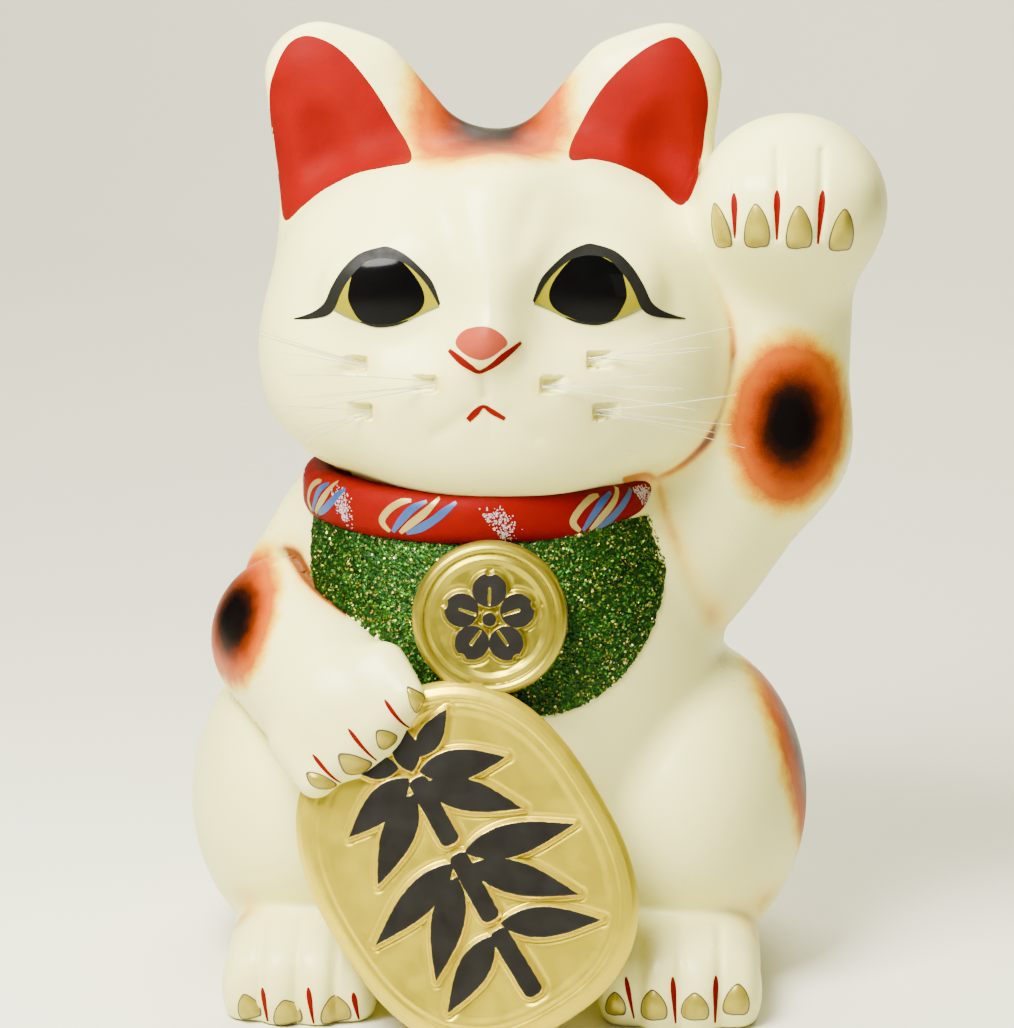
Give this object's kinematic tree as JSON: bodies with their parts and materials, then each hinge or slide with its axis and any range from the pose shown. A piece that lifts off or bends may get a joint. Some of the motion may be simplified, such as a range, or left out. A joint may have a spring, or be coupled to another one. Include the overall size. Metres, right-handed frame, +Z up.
{
  "type": "beckoning cat figurine",
  "caption": "Hollow pottery cat coin bank sitting with one paw raised, holding a gold oval plaque, with red collar, green glitter bib, slot in the head and base stopper.",
  "frame": {"origin": "on the resting plane under the cat, in its middle plane, between the haunches", "axes": "+Z up, -Y the way the cat looks, +X towards the raised arm"},
  "size_m": [0.2202, 0.1798, 0.3017],
  "materials": {
    "white_glaze": "semi-gloss painted pottery",
    "gold_paint": "satin gold paint on pottery",
    "red_enamel": "gloss enamel on pottery",
    "green_glitter": "loose glitter grains glued on",
    "whisker_nylon": "clear pale monofilament",
    "stopper_rubber": "matt moulded rubber"
  },
  "bodies": {
    "bank": {"torso_casting": "white_glaze", "head_casting": "white_glaze", "raised_arm": "white_glaze", "lowered_arm": "white_glaze", "coin_plaque": "gold_paint", "medallion": "gold_paint", "collar_band": "red_enamel", "glitter_bib": "green_glitter", "whiskers_left_upper": "whisker_nylon", "whiskers_left_inner": "whisker_nylon", "whiskers_left_lower": "whisker_nylon", "whiskers_right_upper": "whisker_nylon", "whiskers_right_inner": "whisker_nylon", "whiskers_right_lower": "whisker_nylon"},
    "stopper": {"base_stopper": "stopper_rubber"}
  },
  "joints": [
    {"name": "stopper_pull", "type": "slide", "parent": "bank", "child": "stopper", "axis": [0, 0, -1], "range_m": [0, 0.02]}
  ]
}
